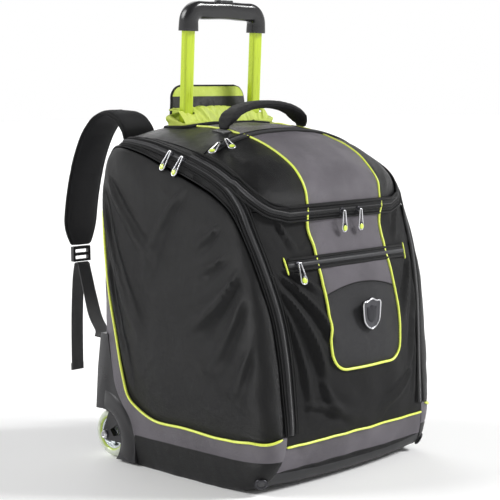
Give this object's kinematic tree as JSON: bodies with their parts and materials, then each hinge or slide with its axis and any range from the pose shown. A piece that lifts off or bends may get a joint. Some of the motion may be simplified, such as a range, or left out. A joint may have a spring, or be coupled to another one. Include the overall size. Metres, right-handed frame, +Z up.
{
  "type": "wheeled skate bag",
  "caption": "Upright wheeled skate bag with a telescopic trolley handle, domed zip lid, zipped side flaps, carry handle, backpack straps and corner wheels.",
  "frame": {"origin": "centre of the bounding box in plan, on the floor", "axes": "+Z up; the zipped front faces -Y, the trolley handle, straps and wheels are towards +Y; +X is to the right when the front is seen"},
  "size_m": [0.412, 0.5629, 0.7392],
  "materials": {
    "black_fabric": "matte woven",
    "lid_fabric": "matte woven",
    "back_padding": "open mesh",
    "base_plastic": "coated",
    "housing_plastic": "satin",
    "lining": "matte",
    "lime_tube": "satin",
    "raw_tube": "satin",
    "frame_plastic": "matte",
    "grip_plastic": "gloss",
    "button_plastic": "satin",
    "rod_steel": "plain",
    "lime_lining": "satin",
    "strap_fabric": "padded",
    "webbing": "ribbed",
    "buckle_plastic": "satin",
    "handle_wrap": "padded",
    "zip_tape": "coil zip",
    "pull_metal": "bright",
    "badge_metal": "satin",
    "eyelet_metal": "black",
    "tyre_urethane": "clear gloss",
    "hub_plastic": "silver",
    "bearing_steel": "bright",
    "axle_steel": "zinc"
  },
  "bodies": {
    "bag": {"front_panel": "black_fabric", "top_strip": "black_fabric", "gusset_left": "black_fabric", "gusset_right": "black_fabric", "side_panel_left": "black_fabric", "side_panel_right": "black_fabric", "side_band_left": "black_fabric", "side_band_right": "black_fabric", "back_panel": "back_padding", "base_tray": "base_plastic", "wheel_housing_left": "housing_plastic", "wheel_housing_right": "housing_plastic", "divider_left": "lining", "divider_right": "lining", "tube_cover": "lining", "outer_tube_left": "raw_tube", "outer_tube_right": "raw_tube", "trolley_frame": "frame_plastic", "well_lining": "lime_lining", "shoulder_strap_left": "strap_fabric", "shoulder_strap_right": "strap_fabric", "strap_webbing_left": "webbing", "strap_webbing_right": "webbing", "strap_buckle_left": "buckle_plastic", "strap_buckle_right": "buckle_plastic", "lid_zip": "zip_tape", "pocket_zip": "zip_tape", "badge": "badge_metal", "vent_eyelet_left": "eyelet_metal", "vent_eyelet_right": "eyelet_metal", "axle_left": "axle_steel", "axle_right": "axle_steel"},
    "trolley_handle": {"inner_tube_left": "lime_tube", "inner_tube_right": "lime_tube", "grip": "grip_plastic"},
    "release_button": {"release_button": "button_plastic", "release_yoke": "rod_steel"},
    "wheel_left": {"tyre_left": "tyre_urethane", "wheel_hub_left": "hub_plastic", "wheel_bearing_left": "bearing_steel"},
    "wheel_right": {"tyre_right": "tyre_urethane", "wheel_hub_right": "hub_plastic", "wheel_bearing_right": "bearing_steel"},
    "lid": {"lid": "lid_fabric", "top_zip": "zip_tape"},
    "side_flap_left": {"side_flap_left": "black_fabric", "side_zip_left": "zip_tape"},
    "side_flap_right": {"side_flap_right": "black_fabric", "side_zip_right": "zip_tape"},
    "carry_handle": {"carry_handle": "handle_wrap"},
    "handle_flap": {"handle_flap": "lime_lining"},
    "lid_pull_left": {"lid_pull_left": "pull_metal"},
    "lid_pull_right": {"lid_pull_right": "pull_metal"},
    "pocket_pull": {"pocket_pull": "pull_metal"},
    "top_pull_front": {"top_pull_front": "pull_metal"},
    "top_pull_rear": {"top_pull_rear": "pull_metal"},
    "side_pull_front_left": {"side_pull_front_left": "pull_metal"},
    "side_pull_front_right": {"side_pull_front_right": "pull_metal"},
    "side_pull_rear_left": {"side_pull_rear_left": "pull_metal"},
    "side_pull_rear_right": {"side_pull_rear_right": "pull_metal"}
  },
  "joints": [
    {"name": "handle_slide", "type": "slide", "parent": "bag", "child": "trolley_handle", "axis": [0, -0.0698, 0.9976], "range_m": [-0.155, 0.22]},
    {"name": "release_button_press", "type": "slide", "parent": "trolley_handle", "child": "release_button", "axis": [0, 0.0698, -0.9976], "range_m": [0, 0.004], "stiffness_N_per_m": 600, "springref_m": -0.008},
    {"name": "wheel_spin_left", "type": "hinge", "parent": "bag", "child": "wheel_left", "pos_m": [-0.1775, 0.116, 0.04], "axis": [1, 0, 0], "continuous": true},
    {"name": "wheel_spin_right", "type": "hinge", "parent": "bag", "child": "wheel_right", "pos_m": [0.1775, 0.116, 0.04], "axis": [1, 0, 0], "continuous": true},
    {"name": "lid_hinge", "type": "hinge", "parent": "bag", "child": "lid", "pos_m": [0, -0.08901, 0.52965], "axis": [-1, 0, 0], "range_deg": [0, 110]},
    {"name": "side_flap_hinge_left", "type": "hinge", "parent": "bag", "child": "side_flap_left", "pos_m": [-0.2065, -0.067, 0.291], "axis": [0, -0.6577, -0.7533], "range_deg": [0, 80]},
    {"name": "side_flap_hinge_right", "type": "hinge", "parent": "bag", "child": "side_flap_right", "pos_m": [0.2065, -0.067, 0.291], "axis": [0, 0.6577, 0.7533], "range_deg": [0, 80]},
    {"name": "carry_handle_fold", "type": "hinge", "parent": "bag", "child": "carry_handle", "pos_m": [0, -0.057, 0.5368], "axis": [-1, 0, 0], "range_deg": [-55, 35]},
    {"name": "handle_flap_fold", "type": "hinge", "parent": "bag", "child": "handle_flap", "pos_m": [0, 0.073, 0.5415], "axis": [-1, 0, 0], "range_deg": [0, 70]},
    {"name": "lid_pull_left_swing", "type": "hinge", "parent": "bag", "child": "lid_pull_left", "pos_m": [-0.01602, -0.24152, 0.40867], "axis": [-0.9998, 0.02, 0], "range_deg": [0, 110]},
    {"name": "lid_pull_right_swing", "type": "hinge", "parent": "bag", "child": "lid_pull_right", "pos_m": [0.02169, -0.24138, 0.40867], "axis": [-0.9996, -0.0287, 0], "range_deg": [0, 110]},
    {"name": "pocket_pull_swing", "type": "hinge", "parent": "bag", "child": "pocket_pull", "pos_m": [-0.11709, -0.24332, 0.33853], "axis": [-0.9786, 0.1942, -0.068], "range_deg": [0, 110]},
    {"name": "top_pull_front_swing", "type": "hinge", "parent": "lid", "child": "top_pull_front", "pos_m": [-0.12665, -0.10158, 0.51857], "axis": [-0.8809, 0.4439, -0.1643], "range_deg": [0, 110]},
    {"name": "top_pull_rear_swing", "type": "hinge", "parent": "lid", "child": "top_pull_rear", "pos_m": [-0.14134, -0.10099, 0.51329], "axis": [-0.3965, 0.9122, 0.1037], "range_deg": [0, 110]},
    {"name": "side_pull_front_left_swing", "type": "hinge", "parent": "side_flap_left", "child": "side_pull_front_left", "pos_m": [-0.18609, -0.06634, 0.49292], "axis": [0.1002, 0.9529, 0.2862], "range_deg": [0, 110]},
    {"name": "side_pull_front_right_swing", "type": "hinge", "parent": "side_flap_right", "child": "side_pull_front_right", "pos_m": [0.18609, -0.06634, 0.49292], "axis": [0.1002, -0.9529, -0.2862], "range_deg": [0, 110]},
    {"name": "side_pull_rear_left_swing", "type": "hinge", "parent": "side_flap_left", "child": "side_pull_rear_left", "pos_m": [-0.18586, -0.0394, 0.50078], "axis": [0.1002, 0.9529, 0.2862], "range_deg": [0, 110]},
    {"name": "side_pull_rear_right_swing", "type": "hinge", "parent": "side_flap_right", "child": "side_pull_rear_right", "pos_m": [0.18586, -0.0394, 0.50078], "axis": [0.1002, -0.9529, -0.2862], "range_deg": [0, 110]}
  ]
}
